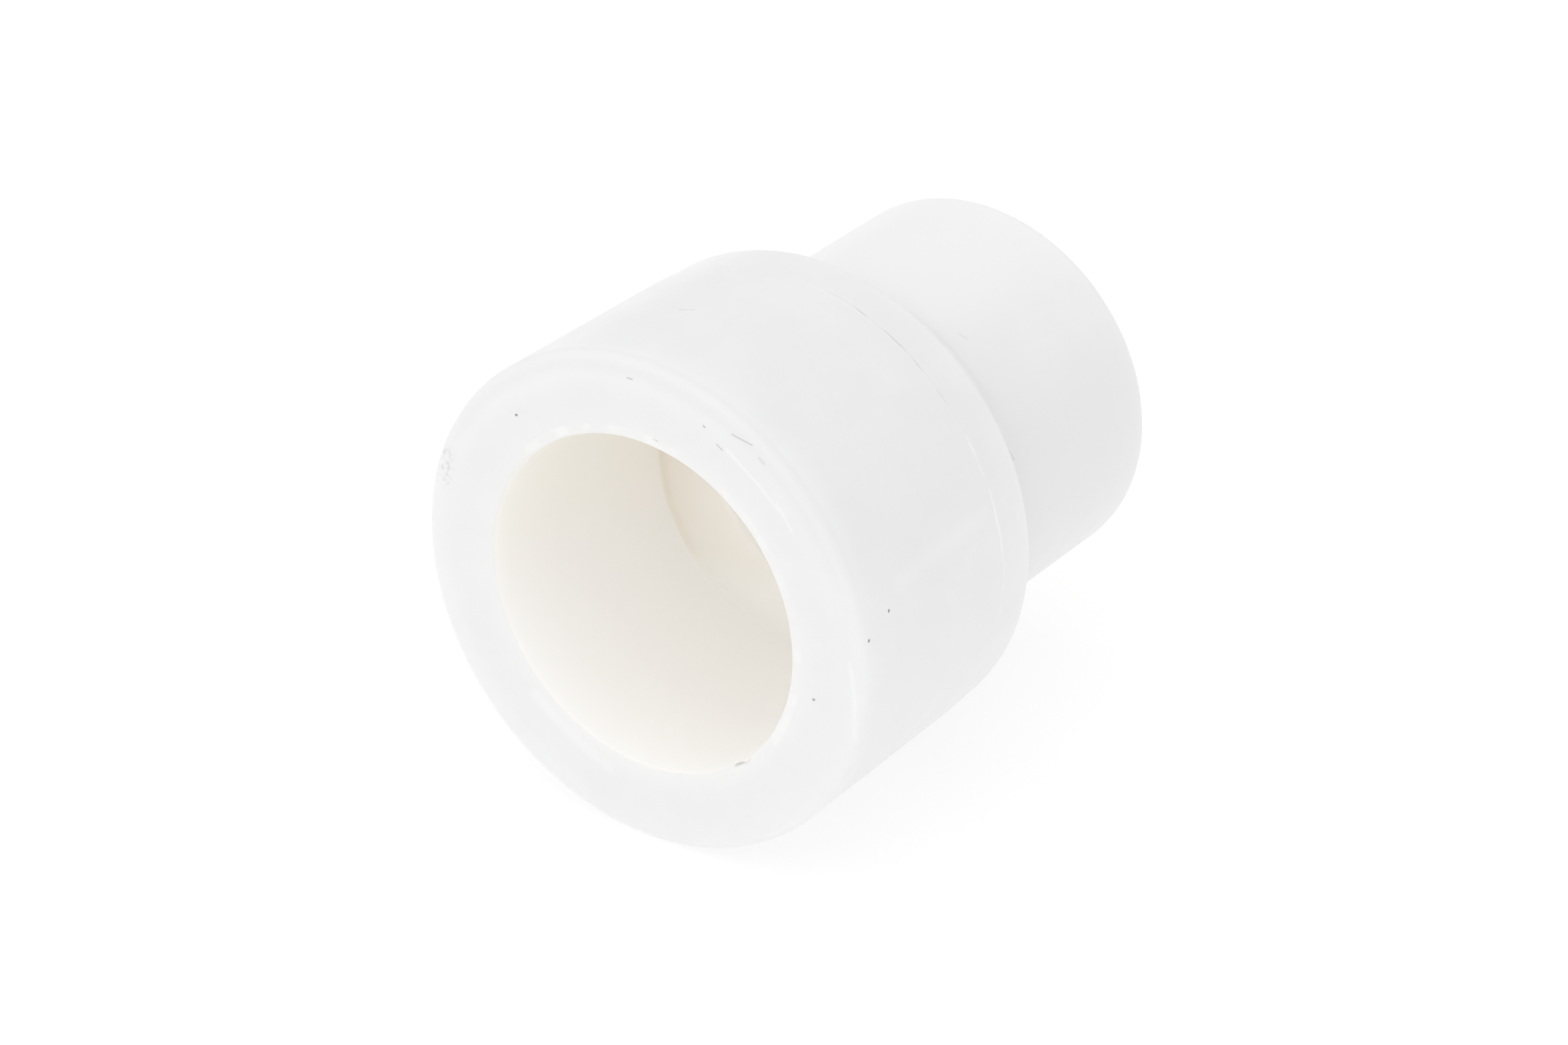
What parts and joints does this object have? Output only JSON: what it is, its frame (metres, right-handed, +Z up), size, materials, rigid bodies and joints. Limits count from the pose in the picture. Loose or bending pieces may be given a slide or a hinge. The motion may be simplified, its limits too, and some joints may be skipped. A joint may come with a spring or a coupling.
{
  "type": "pipe reducer",
  "caption": "Thick-walled plastic reducing socket: a large round socket draws in over a short sloping shoulder to a smaller coaxial socket, with one round waterway through both.",
  "frame": {"origin": "on the pipe axis, midway between the two end faces", "axes": "+Y along the pipe axis from the large mouth to the small mouth, +Z up with the fitting lying on its side, +X completes the right-handed frame"},
  "size_m": [0.0446, 0.0502, 0.0446],
  "materials": {
    "white_ppr": "semi-gloss natural white injection-moulded PP-R, slightly translucent, warm cream in the bore"
  },
  "bodies": {
    "root": {"reducer_body": "white_ppr"}
  },
  "joints": []
}
